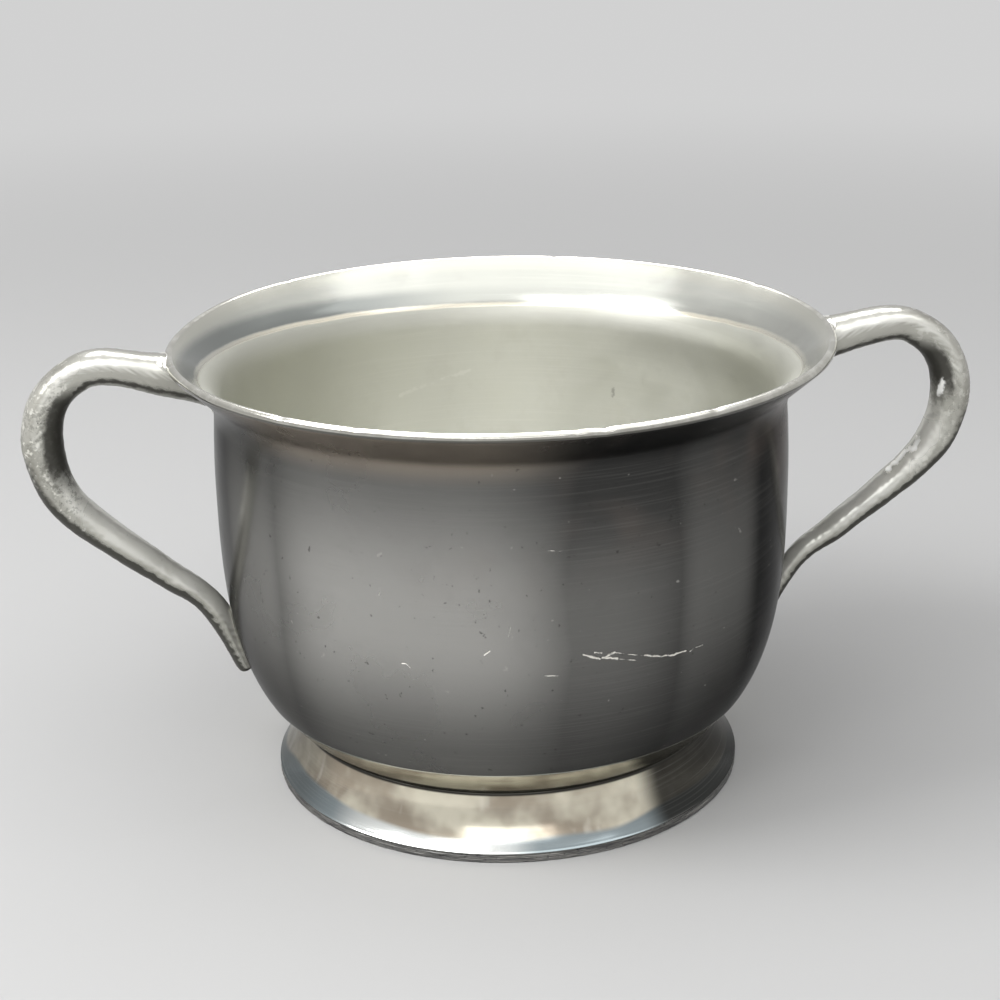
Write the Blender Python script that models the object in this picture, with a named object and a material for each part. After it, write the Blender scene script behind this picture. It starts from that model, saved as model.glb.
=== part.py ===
"""A two-handled pewter sugar bowl: a spun bowl soldered on a spun foot, with two cast handles.

Metres, +Z up. The origin is on the table under the bowl's axis, and +X runs along the handles.
"""
import math

import bpy
from mathutils import Matrix, Vector

# Bowl: one spun sheet, from the flared lip down to the flat underside
BOWL_HEIGHT = 0.0761
BOWL_SHEET = 0.0015
BELLY_RADIUS = 0.0477
BELLY_DEPTH = 0.0467
BELLY_DOWN_POWER = 2.93
BELLY_ACROSS_POWER = 4.85
UNDERSIDE_HEIGHT = 0.0059
WALL_TAPER = 0.0005
FLARE_REACH = 0.0076
FLARE_ANGLE = math.radians(48)
FLARE_BEND_RADIUS = 0.0075
BELLY_HEIGHT = UNDERSIDE_HEIGHT + BELLY_DEPTH
NECK_RADIUS = BELLY_RADIUS - WALL_TAPER
LIP_RADIUS = NECK_RADIUS + FLARE_REACH

# Foot: a low spun skirt, open underneath, with a turned flat edge to stand on
FOOT_RADIUS = 0.0399
FOOT_SPREAD = 0.0037
FOOT_COVE_RADIUS = 0.016
FOOT_EDGE_HEIGHT = 0.00166
FOOT_REST_WIDTH = 0.0019
FOOT_SHEET = 0.0015
FOOT_TOP_RADIUS = FOOT_RADIUS - FOOT_SPREAD

# Solder: a fillet inside the foot, and a thin bed under each end of each handle
SEAT_GAP = 0.0003
FOOT_FILLET_LEG = 0.0018
SOLDER_BED = 0.0006

# Handles: each stands this far round to the front of a straight line through the axis
HANDLE_TURN = math.radians(3.5)
# Centre line of the cast limb: how far out from the wall at that height, how far below the
# rim's top, and how deep the limb is there
HANDLE_STATIONS = (
    (-0.0043, 0.0062, 0.0078),  # buried in the lip
    (0.0038, 0.0039, 0.0071),
    (0.0165, 0.0010, 0.0060),  # crest
    (0.0222, 0.0025, 0.0059),
    (0.0262, 0.0068, 0.0064),
    (0.0275, 0.0133, 0.0068),  # furthest out
    (0.0257, 0.0205, 0.0065),
    (0.0215, 0.0266, 0.0060),
    (0.0101, 0.0369, 0.0051),
    (0.0050, 0.0413, 0.0047),
    (0.0023, 0.0461, 0.0044),
    (0.0012, 0.0547, 0.0032),
    (0.0012, 0.0560, 0.0022),  # tip, flat against the belly
)
LIMB_WIDTH_PER_DEPTH = 1.12
# How each casting was fitted by hand: how far its bend was pulled out, how far its tip was
# pressed in, and how much slimmer it was filed towards the tip
LEFT_SPREAD = 1.0
LEFT_TUCK = 0.0004
LEFT_SLIMMING = 0.0
RIGHT_SPREAD = 1.05
RIGHT_TUCK = 0.0012
RIGHT_SLIMMING = 0.3
LIMB_OUTER_SHARE = 0.55
LIMB_INNER_FLATNESS = 0.62

# Fineness of the turned and swept surfaces
TURN_STEPS = 64
BELLY_STEPS = 20
WALL_STEPS = 3
BEND_STEPS = 6
LIP_STEPS = 5
COVE_STEPS = 8
LIMB_STEPS_PER_SPAN = 3
LIMB_SIDES = 16

CUTTER_HEADROOM = 0.02
WELD_WITHIN = 0.00001
SLOPE_STEP = 0.0001


def clear_scene():
    for old in list(bpy.data.objects):
        bpy.data.objects.remove(old)


def pewter(name, colour, roughness):
    material = bpy.data.materials.new(name)
    material.use_nodes = True
    shader = material.node_tree.nodes["Principled BSDF"]
    shader.inputs["Base Color"].default_value = (*colour, 1.0)
    shader.inputs["Roughness"].default_value = roughness
    shader.inputs["Metallic"].default_value = 1.0
    return material


def underside_height(radius):
    """Height of the bowl's outer surface below its widest ring, at this radius."""
    across = min(radius / BELLY_RADIUS, 1.0) ** BELLY_ACROSS_POWER
    return BELLY_HEIGHT - BELLY_DEPTH * (1 - across) ** (1 / BELLY_DOWN_POWER)


def flare_start():
    """Height at which the wall leaves the upright and starts to bend out to the lip."""
    lip_low = Vector((LIP_RADIUS - BOWL_SHEET / 2, BOWL_HEIGHT - BOWL_SHEET / 2))
    lip_low += BOWL_SHEET / 2 * Vector((math.cos(FLARE_ANGLE), -math.sin(FLARE_ANGLE)))
    bend_out = FLARE_BEND_RADIUS * (1 - math.cos(FLARE_ANGLE))
    straight = (lip_low.x - NECK_RADIUS - bend_out) / math.sin(FLARE_ANGLE)
    bend_up = FLARE_BEND_RADIUS * math.sin(FLARE_ANGLE)
    return lip_low.y - straight * math.cos(FLARE_ANGLE) - bend_up, lip_low


def wall_radius(height):
    """Outer radius of the bowl at this height, as if the wall ran straight up past the flare."""
    start, _ = flare_start()
    if height >= BELLY_HEIGHT:
        rise = min((height - BELLY_HEIGHT) / (start - BELLY_HEIGHT), 1.0)
        return BELLY_RADIUS - (BELLY_RADIUS - NECK_RADIUS) * rise**2
    down = min((BELLY_HEIGHT - height) / BELLY_DEPTH, 1.0) ** BELLY_DOWN_POWER
    return BELLY_RADIUS * (1 - down) ** (1 / BELLY_ACROSS_POWER)


def bowl_outside():
    """Outer profile from the centre of the underside up to the lower corner of the lip."""
    start, lip_low = flare_start()
    points = []
    for step in range(BELLY_STEPS, -1, -1):
        turn = math.pi / 2 * step / BELLY_STEPS
        across = max(math.cos(turn), 0.0) ** (2 / BELLY_ACROSS_POWER)
        down = math.sin(turn) ** (2 / BELLY_DOWN_POWER)
        points.append(Vector((BELLY_RADIUS * across, BELLY_HEIGHT - BELLY_DEPTH * down)))
    points[0].x = 0.0
    for step in range(1, WALL_STEPS + 1):
        height = BELLY_HEIGHT + (start - BELLY_HEIGHT) * step / WALL_STEPS
        points.append(Vector((wall_radius(height), height)))
    for step in range(1, BEND_STEPS + 1):
        turn = FLARE_ANGLE * step / BEND_STEPS
        out = NECK_RADIUS + FLARE_BEND_RADIUS * (1 - math.cos(turn))
        points.append(Vector((out, start + FLARE_BEND_RADIUS * math.sin(turn))))
    points.append(lip_low)
    return points


def offset(points, distance):
    """The profile moved sideways, outwards from the sheet where the distance is positive."""
    moved = []
    for index, point in enumerate(points):
        before = points[max(index - 1, 0)]
        after = points[min(index + 1, len(points) - 1)]
        along = (after - before).normalized()
        moved.append(point + distance * Vector((along.y, -along.x)))
    if points[0].x == 0.0:
        moved[0] = Vector((0.0, points[0].y - distance))
    return moved


def turned(name, profile, closed):
    """A solid of revolution. The profile runs down its outer side, top to bottom."""
    mesh = bpy.data.meshes.new(name)
    edges = [(index, index + 1) for index in range(len(profile) - 1)]
    if closed:
        edges.append((len(profile) - 1, 0))
    mesh.from_pydata([(point.x, 0.0, point.y) for point in profile], edges, [])
    turned_object = bpy.data.objects.new(name, mesh)
    bpy.context.scene.collection.objects.link(turned_object)
    screw = turned_object.modifiers.new("Turn", "SCREW")
    screw.steps = screw.render_steps = TURN_STEPS
    screw.use_merge_vertices = True
    screw.merge_threshold = WELD_WITHIN
    screw.use_smooth_shade = True
    return turned_object


def bowl_body():
    outside = bowl_outside()
    inside = offset(outside, -BOWL_SHEET)
    lip_centre = (outside[-1] + inside[-1]) / 2
    lip = []
    for step in range(1, LIP_STEPS):
        turn = math.pi * step / LIP_STEPS
        arm = (inside[-1] - lip_centre).to_2d()
        arm.rotate(Matrix.Rotation(-turn, 2))
        lip.append(lip_centre + arm)
    return turned("bowl_body", inside + lip + outside[::-1], closed=False)


def skirt_point(share, thickness):
    """A point of the foot's skirt, from under the bowl (0) down to its edge (1).

    A thickness of 0 gives the concave outer face, and more lies further in.
    """
    top = Vector((FOOT_TOP_RADIUS, underside_height(FOOT_TOP_RADIUS)))
    low = Vector((FOOT_RADIUS, FOOT_EDGE_HEIGHT))
    chord = low - top
    half_turn = math.asin(min(chord.length / 2 / FOOT_COVE_RADIUS, 1.0))
    outward = Vector((-chord.y, chord.x)).normalized()
    centre = (top + low) / 2 + FOOT_COVE_RADIUS * math.cos(half_turn) * outward
    arm = (top - centre).normalized() * (FOOT_COVE_RADIUS + thickness)
    arm.rotate(Matrix.Rotation(2 * half_turn * share, 2))
    return centre + arm


def skirt_length():
    drop = underside_height(FOOT_TOP_RADIUS) - FOOT_EDGE_HEIGHT
    return math.hypot(FOOT_SPREAD, drop)


def underside_slope(radius):
    rise = underside_height(radius + SLOPE_STEP) - underside_height(radius - SLOPE_STEP)
    return rise / (2 * SLOPE_STEP)


def below_bowl(radius, gap):
    """The point at this radius that clears the bowl's underside by the gap."""
    drop = gap * math.hypot(1.0, underside_slope(radius))
    return Vector((radius, underside_height(radius) - drop))


def share_under_bowl(thickness):
    """How far down the skirt this face comes clear of the bowl's underside."""
    inside_bowl = 0.0
    clear = 1.0
    while clear - inside_bowl > WELD_WITHIN:
        share = (inside_bowl + clear) / 2
        point = skirt_point(share, thickness)
        if point.y > below_bowl(point.x, SEAT_GAP).y:
            inside_bowl = share
        else:
            clear = share
    return clear


def skirt_face(thickness):
    start = share_under_bowl(thickness)
    shares = [start + (1 - start) * step / COVE_STEPS for step in range(COVE_STEPS + 1)]
    return [skirt_point(share, thickness) for share in shares]


def foot():
    rest_radius = FOOT_RADIUS - FOOT_REST_WIDTH
    inner = [
        point for point in skirt_face(FOOT_SHEET)
        if point.x < rest_radius and point.y > FOOT_EDGE_HEIGHT
    ]
    edge = [Vector((FOOT_RADIUS, 0.0)), Vector((rest_radius, 0.0))]
    step_up = [Vector((rest_radius, FOOT_EDGE_HEIGHT))]
    return turned("foot", skirt_face(0.0) + edge + step_up + inner[::-1], closed=True)


def foot_solder_fillet():
    """The solder ring in the corner between the bowl's underside and the inside of the foot."""
    clear_of_skirt = FOOT_SHEET + SEAT_GAP
    start = share_under_bowl(clear_of_skirt)
    corner = skirt_point(start, clear_of_skirt)
    downward = skirt_point(start + FOOT_FILLET_LEG / skirt_length(), clear_of_skirt)
    leg_across = FOOT_FILLET_LEG / math.hypot(1.0, underside_slope(corner.x))
    inward = below_bowl(corner.x - leg_across, SEAT_GAP)
    hollow = (corner + inward + downward) / 3
    return turned("foot_solder_fillet", [corner, downward, hollow, inward], closed=True)


def bowl_blank(name, clearance):
    """A solid plug of the bowl's outer shape grown by the clearance, for cutting handles to fit."""
    outside = offset(bowl_outside(), clearance)
    lip_side = LIP_RADIUS + clearance
    top = BOWL_HEIGHT + CUTTER_HEADROOM
    outside = [point for point in outside if point.x <= lip_side]
    wall = [Vector((lip_side, outside[-1].y)), Vector((lip_side, top)), Vector((0.0, top))]
    plug = turned(name, (outside + wall)[::-1], closed=False)
    plug.hide_render = True
    plug.display_type = "WIRE"
    return plug


def smooth_between(before, start, end, after, share):
    """One coordinate of a smooth curve through four stations, between the middle two."""
    rise = (end - before) / 2
    leave = (after - start) / 2
    return (
        start
        + rise * share
        + (3 * (end - start) - 2 * rise - leave) * share**2
        + (2 * (start - end) + rise + leave) * share**3
    )


def limb_line(spread, tuck, slimming):
    """Points along the limb's centre line: radius, height and depth."""
    stations = []
    tip_below = HANDLE_STATIONS[-1][1]
    for out, below, depth in HANDLE_STATIONS:
        towards_tip = (below / tip_below) ** 2
        height = BOWL_HEIGHT - below
        radius = wall_radius(height) + out * spread - tuck * towards_tip
        stations.append((radius, height, depth * (1 - slimming * towards_tip)))
    last = len(stations) - 1
    line = []
    for span in range(last):
        near = [stations[min(max(span + shift, 0), last)] for shift in (-1, 0, 1, 2)]
        for step in range(LIMB_STEPS_PER_SPAN):
            share = step / LIMB_STEPS_PER_SPAN
            line.append([smooth_between(*values, share) for values in zip(*near)])
    line.append(list(stations[-1]))
    return line


def limb_section(depth):
    """Section of the limb: rounded on its outer side, flatter on the side facing the bowl."""
    ring = []
    for side in range(LIMB_SIDES):
        turn = 2 * math.pi * side / LIMB_SIDES
        across = math.sin(turn) * depth * LIMB_WIDTH_PER_DEPTH / 2
        deep = math.cos(turn)
        if deep >= 0:
            ring.append((deep * depth * LIMB_OUTER_SHARE, across))
        else:
            ring.append((-(abs(deep) ** LIMB_INNER_FLATNESS) * depth * (1 - LIMB_OUTER_SHARE), across))
    return ring


def limb(name, direction, line):
    """A cast limb swept along this centre line, in the upright plane of this direction."""
    out = Vector((math.cos(direction), math.sin(direction), 0.0))
    up = Vector((0.0, 0.0, 1.0))
    side = up.cross(out)
    points = []
    for index, (radius, height, depth) in enumerate(line):
        before = line[max(index - 1, 0)]
        after = line[min(index + 1, len(line) - 1)]
        along = (out * (after[0] - before[0]) + up * (after[1] - before[1])).normalized()
        outer = side.cross(along)
        centre = out * radius + up * height
        for deep, across in limb_section(depth):
            points.append(centre + outer * deep + side * across)
    faces = [list(range(LIMB_SIDES)), list(range(len(points) - 1, len(points) - 1 - LIMB_SIDES, -1))]
    for ring in range(len(line) - 1):
        for corner in range(LIMB_SIDES):
            first = ring * LIMB_SIDES + corner
            second = ring * LIMB_SIDES + (corner + 1) % LIMB_SIDES
            faces.append([second, first, first + LIMB_SIDES, second + LIMB_SIDES])
    mesh = bpy.data.meshes.new(name)
    mesh.from_pydata(points, [], faces)
    mesh.shade_smooth()
    mesh.set_sharp_from_angle(angle=math.radians(40))
    limb_object = bpy.data.objects.new(name, mesh)
    bpy.context.scene.collection.objects.link(limb_object)
    return limb_object


def combine(target, tool, operation):
    boolean = target.modifiers.new(tool.name, "BOOLEAN")
    boolean.operation = operation
    boolean.object = tool
    boolean.solver = "EXACT"


def main():
    clear_scene()
    outside = pewter("pewter_outside", (0.19, 0.19, 0.175), 0.32)
    polished = pewter("pewter_foot", (0.45, 0.44, 0.40), 0.16)
    cast = pewter("pewter_cast", (0.42, 0.42, 0.39), 0.3)
    solder = pewter("solder", (0.3, 0.3, 0.28), 0.4)

    bowl_body().data.materials.append(outside)
    foot().data.materials.append(polished)
    foot_solder_fillet().data.materials.append(solder)

    bowl_clear = bowl_blank("bowl_clear", SEAT_GAP)
    bed_top = bowl_blank("bed_top", SEAT_GAP + SOLDER_BED)
    handle_seat = bowl_blank("handle_seat", SEAT_GAP + SOLDER_BED + SEAT_GAP)
    left_fitting = (LEFT_SPREAD, LEFT_TUCK, LEFT_SLIMMING)
    right_fitting = (RIGHT_SPREAD, RIGHT_TUCK, RIGHT_SLIMMING)
    sides = (("left", math.pi + HANDLE_TURN, left_fitting), ("right", -HANDLE_TURN, right_fitting))
    for side, direction, fitting in sides:
        line = limb_line(*fitting)
        middle = len(line) // 2
        handle = limb(f"handle_{side}", direction, line)
        combine(handle, handle_seat, "DIFFERENCE")
        handle.data.materials.append(cast)
        top_bed = limb(f"handle_{side}_top_solder", direction, line[:middle])
        tip_bed = limb(f"handle_{side}_tip_solder", direction, line[middle:])
        for bed in (top_bed, tip_bed):
            combine(bed, bed_top, "INTERSECT")
            combine(bed, bowl_clear, "DIFFERENCE")
            bed.data.materials.append(solder)


main()
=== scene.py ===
"""The finished look of a two-handled pewter sugar bowl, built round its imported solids.

Metres, +Z up, in the frame of the solids: the bowl's axis is Z and the handles lie along X.
"""
import math

import bmesh
import bpy
import numpy as np
from mathutils import Matrix, Vector


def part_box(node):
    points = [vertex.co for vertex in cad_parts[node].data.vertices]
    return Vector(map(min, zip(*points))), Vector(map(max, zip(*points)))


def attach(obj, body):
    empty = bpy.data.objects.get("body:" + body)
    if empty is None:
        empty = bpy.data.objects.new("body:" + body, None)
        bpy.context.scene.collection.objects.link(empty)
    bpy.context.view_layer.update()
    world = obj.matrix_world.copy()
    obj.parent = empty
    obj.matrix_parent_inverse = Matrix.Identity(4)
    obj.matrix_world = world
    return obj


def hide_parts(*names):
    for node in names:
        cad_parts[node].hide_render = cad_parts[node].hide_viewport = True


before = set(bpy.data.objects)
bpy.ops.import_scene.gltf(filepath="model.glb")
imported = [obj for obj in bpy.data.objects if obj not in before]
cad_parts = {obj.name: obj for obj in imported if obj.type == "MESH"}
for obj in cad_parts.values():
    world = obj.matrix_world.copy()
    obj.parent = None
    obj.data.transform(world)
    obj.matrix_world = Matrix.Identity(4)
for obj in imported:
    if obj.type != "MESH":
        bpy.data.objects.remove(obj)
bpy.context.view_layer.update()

# Bowl: one spun sheet. Its height and width come from the solids
BOWL_LOW, BOWL_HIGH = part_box("bowl_body")
BOWL_HEIGHT = BOWL_HIGH.z
LIP_RADIUS = BOWL_HIGH.x
UNDERSIDE_HEIGHT = BOWL_LOW.z
BOWL_SHEET = 0.0015
BELLY_RADIUS = 0.0477
BELLY_DEPTH = 0.0467
BELLY_DOWN_POWER = 2.93
BELLY_ACROSS_POWER = 4.85
BELLY_HEIGHT = UNDERSIDE_HEIGHT + BELLY_DEPTH
WALL_TAPER = 0.0005
NECK_RADIUS = BELLY_RADIUS - WALL_TAPER
FLARE_ANGLE = math.radians(48)
FLARE_BEND_RADIUS = 0.0075

# Foot: a spun skirt with a rough-turned edge
FOOT_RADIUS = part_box("foot")[1].x
FOOT_SPREAD = 0.0037
FOOT_COVE_RADIUS = 0.016
FOOT_EDGE_HEIGHT = 0.00166
FOOT_REST_WIDTH = 0.0019
FOOT_SHEET = 0.0015
FOOT_ARRIS = 0.00022
FOOT_GROOVES = 4
FOOT_GROOVE_DEPTH = 0.00006
FOOT_EDGE_ROUGHNESS = 0.00005
REST_OUTER_CHAMFER = 0.0002
REST_INNER_CHAMFER = 0.0001

# Handles: centre line as (out from the wall, below the rim's top, depth of the limb)
HANDLE_TURN = math.radians(3.5)
HANDLE_STATIONS = (
    (-0.0043, 0.0062, 0.0078),
    (0.0038, 0.0039, 0.0071),
    (0.0165, 0.0010, 0.0060),
    (0.0222, 0.0025, 0.0059),
    (0.0262, 0.0068, 0.0064),
    (0.0275, 0.0133, 0.0068),
    (0.0257, 0.0205, 0.0065),
    (0.0215, 0.0266, 0.0060),
    (0.0101, 0.0369, 0.0051),
    (0.0050, 0.0413, 0.0047),
    (0.0023, 0.0461, 0.0044),
    (0.0012, 0.0547, 0.0032),
    (0.0012, 0.0560, 0.0022),
)
LIMB_WIDTH_PER_DEPTH = 1.12
LIMB_OUTER_SHARE = 0.55
LIMB_INNER_FLATNESS = 0.62
# The share of its length where the limb's inner face starts to be as round as the outer, and
# the share that the change takes
ROUNDER_FROM = 0.45
ROUNDER_OVER = 0.25
TIP_ROUNDING = 0.0009
CAST_LUMPS = 0.00010
CAST_GRAIN = 0.00003
# (spread, tuck, slimming) of each casting as it was fitted by hand
FITTINGS = {"left": (1.0, 0.0004, 0.0), "right": (1.05, 0.0012, 0.3)}
SINK = 0.0008  # how far a handle's end runs into the bowl's sheet
UP = np.array([0.0, 0.0, 1.0])

# Solder: how far each fillet reaches from its corner, how much that varies, and how far it runs
# into the pieces that it joins
FOOT_SOLDER_REACH = 0.0020
FOOT_SOLDER_RIPPLE = 0.00012
FOOT_SOLDER_BITE = 0.0003
TOP_SOLDER_REACH = 0.0007
TOP_SOLDER_WAVER = 0.00008
TIP_SOLDER_REACH = 0.00055
TIP_SOLDER_WAVER = 0.00012
HANDLE_SOLDER_BITE = 0.0004

# Fineness
TURN_STEPS = 400
OUTER_BELLY_STEPS = 110
INNER_BELLY_STEPS = 48
LIP_STEPS = 16
INSIDE_NEAR_LIP = 20  # how many points of the inside a handle's end can come near
LIMB_SIDES = 72
LIMB_STEPS = 330
WELD_DISTANCE = 0.000001
SAME_DISTANCE = 1e-12


# Profiles

def underside_height(radius):
    across = np.minimum(radius / BELLY_RADIUS, 1.0) ** BELLY_ACROSS_POWER
    return BELLY_HEIGHT - BELLY_DEPTH * (1 - across) ** (1 / BELLY_DOWN_POWER)


def lip_low_point():
    low = np.array([LIP_RADIUS - BOWL_SHEET / 2, BOWL_HEIGHT - BOWL_SHEET / 2])
    return low + BOWL_SHEET / 2 * np.array([math.cos(FLARE_ANGLE), -math.sin(FLARE_ANGLE)])


def flare_start():
    lip_low = lip_low_point()
    bend_out = FLARE_BEND_RADIUS * (1 - math.cos(FLARE_ANGLE))
    straight = (lip_low[0] - NECK_RADIUS - bend_out) / math.sin(FLARE_ANGLE)
    return lip_low[1] - straight * math.cos(FLARE_ANGLE) - FLARE_BEND_RADIUS * math.sin(FLARE_ANGLE)


FLARE_START = flare_start()
WIPED_ABOVE = FLARE_START + 0.0034  # the inside is wiped bright from here up


def wall_radius(height):
    height = np.asarray(height, float)
    rise = np.clip((height - BELLY_HEIGHT) / (FLARE_START - BELLY_HEIGHT), 0, 1)
    down = np.clip((BELLY_HEIGHT - height) / BELLY_DEPTH, 0, 1) ** BELLY_DOWN_POWER
    return np.where(
        height >= BELLY_HEIGHT,
        BELLY_RADIUS - WALL_TAPER * rise**2,
        BELLY_RADIUS * (1 - down) ** (1 / BELLY_ACROSS_POWER),
    )


def bowl_outside(belly_steps, wall_steps=10, bend_steps=16, flare_steps=6):
    """Outer profile, from the centre of the underside up to the lower corner of the lip."""
    turn = np.linspace(math.pi / 2, 0, belly_steps + 1)
    across = np.clip(np.cos(turn), 0, 1) ** (2 / BELLY_ACROSS_POWER)
    across[0] = 0
    down = np.sin(turn) ** (2 / BELLY_DOWN_POWER)
    belly = np.stack([BELLY_RADIUS * across, BELLY_HEIGHT - BELLY_DEPTH * down], 1)
    height = np.linspace(BELLY_HEIGHT, FLARE_START, wall_steps + 1)[1:]
    wall = np.stack([wall_radius(height), height], 1)
    turn = np.linspace(0, FLARE_ANGLE, bend_steps + 1)[1:]
    bend = np.stack([
        NECK_RADIUS + FLARE_BEND_RADIUS * (1 - np.cos(turn)),
        FLARE_START + FLARE_BEND_RADIUS * np.sin(turn),
    ], 1)
    share = np.linspace(0, 1, flare_steps + 1)[1:, None]
    flare = bend[-1] * (1 - share) + lip_low_point() * share
    return np.concatenate([belly, wall, bend, flare])


def normals_2d(points):
    along = np.gradient(points, axis=0)
    along /= np.linalg.norm(along, axis=1, keepdims=True)
    return np.stack([along[:, 1], -along[:, 0]], 1)


def offset(points, distance):
    """The profile moved sideways, outwards from the sheet where the distance is positive."""
    moved = points + distance * normals_2d(points)
    if points[0, 0] == 0:
        moved[0] = (0.0, points[0, 1] - distance)
    return moved


def swing(centre, arm, turn):
    """Points round the centre: the arm turned by each of these angles."""
    cos, sin = np.cos(turn), np.sin(turn)
    return centre + np.stack([arm[0] * cos - arm[1] * sin, arm[0] * sin + arm[1] * cos], 1)


def half_round(start, end, steps):
    """Points of the half circle from start to end, bulging to the left of the way there."""
    centre = (start + end) / 2
    return swing(centre, start - centre, np.linspace(0, -math.pi, steps + 1)[1:-1])


# The belly ends in an edge, and a hollow polished band runs from there to the foot
BAND_TOP = 0.0163
BAND_LENGTH = 0.0085
BAND_HOLLOW = 0.00030


def hollow_band(points):
    """The profile with its band drawn in, most a third of the way down it."""
    lengths = np.linalg.norm(np.diff(points[::-1], axis=0, prepend=points[-1:]), axis=1)
    below = np.cumsum(lengths)[::-1]
    edge = np.interp(BAND_TOP, points[:, 1], below)
    share = np.clip((below - edge) / BAND_LENGTH, 0, 1)
    depth = BAND_HOLLOW * np.clip(share / 0.3, 0, 1) * (1 - share) ** 0.7 * 1.2
    return points - depth[:, None] * normals_2d(points)


OUTSIDE = hollow_band(bowl_outside(OUTER_BELLY_STEPS))
INSIDE = offset(bowl_outside(INNER_BELLY_STEPS), -BOWL_SHEET)
LIP = half_round(INSIDE[-1], OUTSIDE[-1], LIP_STEPS)
SURFACE = np.concatenate([OUTSIDE, LIP[::-1], INSIDE[-INSIDE_NEAR_LIP:][::-1]])


def skirt_face(thickness, steps):
    """The foot's skirt, from the bowl's underside down to the edge."""
    top_radius = FOOT_RADIUS - FOOT_SPREAD
    top = np.array([top_radius, float(underside_height(top_radius))])
    low = np.array([FOOT_RADIUS, FOOT_EDGE_HEIGHT])
    chord = low - top
    half = math.asin(np.linalg.norm(chord) / 2 / FOOT_COVE_RADIUS)
    outward = np.array([-chord[1], chord[0]]) / np.linalg.norm(chord)
    centre = (top + low) / 2 + FOOT_COVE_RADIUS * math.cos(half) * outward
    arm = (top - centre) / np.linalg.norm(top - centre) * (FOOT_COVE_RADIUS + thickness)
    return swing(centre, arm, 2 * half * np.linspace(0, 1, steps + 1))


def fillet(start, corner, end, steps):
    """A hollow curve from start to end, drawn towards the corner between them."""
    share = np.linspace(0, 1, steps).reshape((-1,) + (1,) * start.ndim)
    return (1 - share) ** 2 * start + 2 * share * (1 - share) * corner + share**2 * end


# Meshes

def turned(profile, steps=TURN_STEPS):
    """Rings of points, one for each profile point."""
    azimuth = np.linspace(0, 2 * math.pi, steps, endpoint=False)
    radius, height = profile[:, 0, None], profile[:, 1, None]
    return np.stack([
        radius * np.cos(azimuth),
        radius * np.sin(azimuth),
        height + 0 * azimuth,
    ], 2)


def skin(name, rings, materials, ends, bands=None):
    """A closed mesh over rings of points.

    Its ends are caps, points (all of a ring's points are one) or joined, the last ring to the
    first. bands gives the material index of each strip between two rings.
    """
    count, sides = rings.shape[:2]
    strips = count if ends == "joined" else count - 1
    bands = bands or [0] * strips
    ring, corner = np.mgrid[:strips, :sides]
    here, after = ring * sides, (ring + 1) % count * sides
    beside = (corner + 1) % sides
    faces = np.stack([here + corner, here + beside, after + beside, after + corner], -1)
    faces = faces.reshape(-1, 4).tolist()
    indices = np.repeat(bands, sides).tolist()
    if ends == "caps":
        faces += [list(range(sides - 1, -1, -1)), list(range((count - 1) * sides, count * sides))]
        indices += [bands[0], bands[-1]]
    mesh = bpy.data.meshes.new(name)
    mesh.from_pydata(rings.reshape(-1, 3).tolist(), [], faces)
    mesh.polygons.foreach_set("material_index", indices)
    for material in materials:
        mesh.materials.append(material)
    face_outward(mesh, welded=ends == "points")
    mesh.shade_smooth()
    piece = bpy.data.objects.new(name, mesh)
    bpy.context.scene.collection.objects.link(piece)
    return piece


def face_outward(mesh, welded):
    """Turn a closed mesh the right way out, after points at one place become one if asked."""
    work = bmesh.new()
    work.from_mesh(mesh)
    if welded:
        bmesh.ops.remove_doubles(work, verts=work.verts, dist=WELD_DISTANCE)
    bmesh.ops.recalc_face_normals(work, faces=work.faces)
    if work.calc_volume(signed=True) < 0:
        bmesh.ops.reverse_faces(work, faces=work.faces)
    work.to_mesh(mesh)
    work.free()


def waves(points, length, count=24, seed=0):
    """Smooth seeded noise between about -1 and 1 at these points, with this wavelength."""
    draw = np.random.default_rng(seed)
    direction = draw.normal(size=(count, 3))
    direction /= np.linalg.norm(direction, axis=1, keepdims=True)
    rate = 2 * math.pi / length * draw.uniform(0.6, 1.4, count)
    phase = draw.uniform(0, 2 * math.pi, count)
    total = np.zeros(points.shape[:-1])
    for way, speed, start in zip(direction, rate, phase):
        total += np.sin(points @ way * speed + start)
    return total / math.sqrt(count / 2) / 2


def bell(value, width):
    return np.exp(-((value / width) ** 2))


# Bowl

# The lip is pressed in a little behind the left handle
LIP_PRESS_AZIMUTH = 162.0  # degrees
LIP_PRESS_WIDTH = math.radians(20)
LIP_PRESS_DEPTH = 0.0012
WALL_WAVE = 0.00006
WALL_WAVE_LENGTH = 0.035
# Nicks in the lip: (azimuth in degrees, width, depth)
LIP_NICKS = (
    (-82.0, 0.0007, 0.00030),
    (-86.5, 0.0005, 0.00014),
    (-120.0, 0.0006, 0.00016),
    (-133.0, 0.0008, 0.00016),
    (-63.0, 0.0005, 0.00014),
    (24.0, 0.0007, 0.00016),
    (71.0, 0.0006, 0.00018),
    (128.0, 0.0005, 0.00014),
    (-170.0, 0.0006, 0.00014),
)


def angle_from(azimuth, degrees):
    """The angle in radians from a direction in degrees to these ones, to either side of it."""
    return (azimuth - math.radians(degrees) + math.pi) % (2 * math.pi) - math.pi


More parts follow.
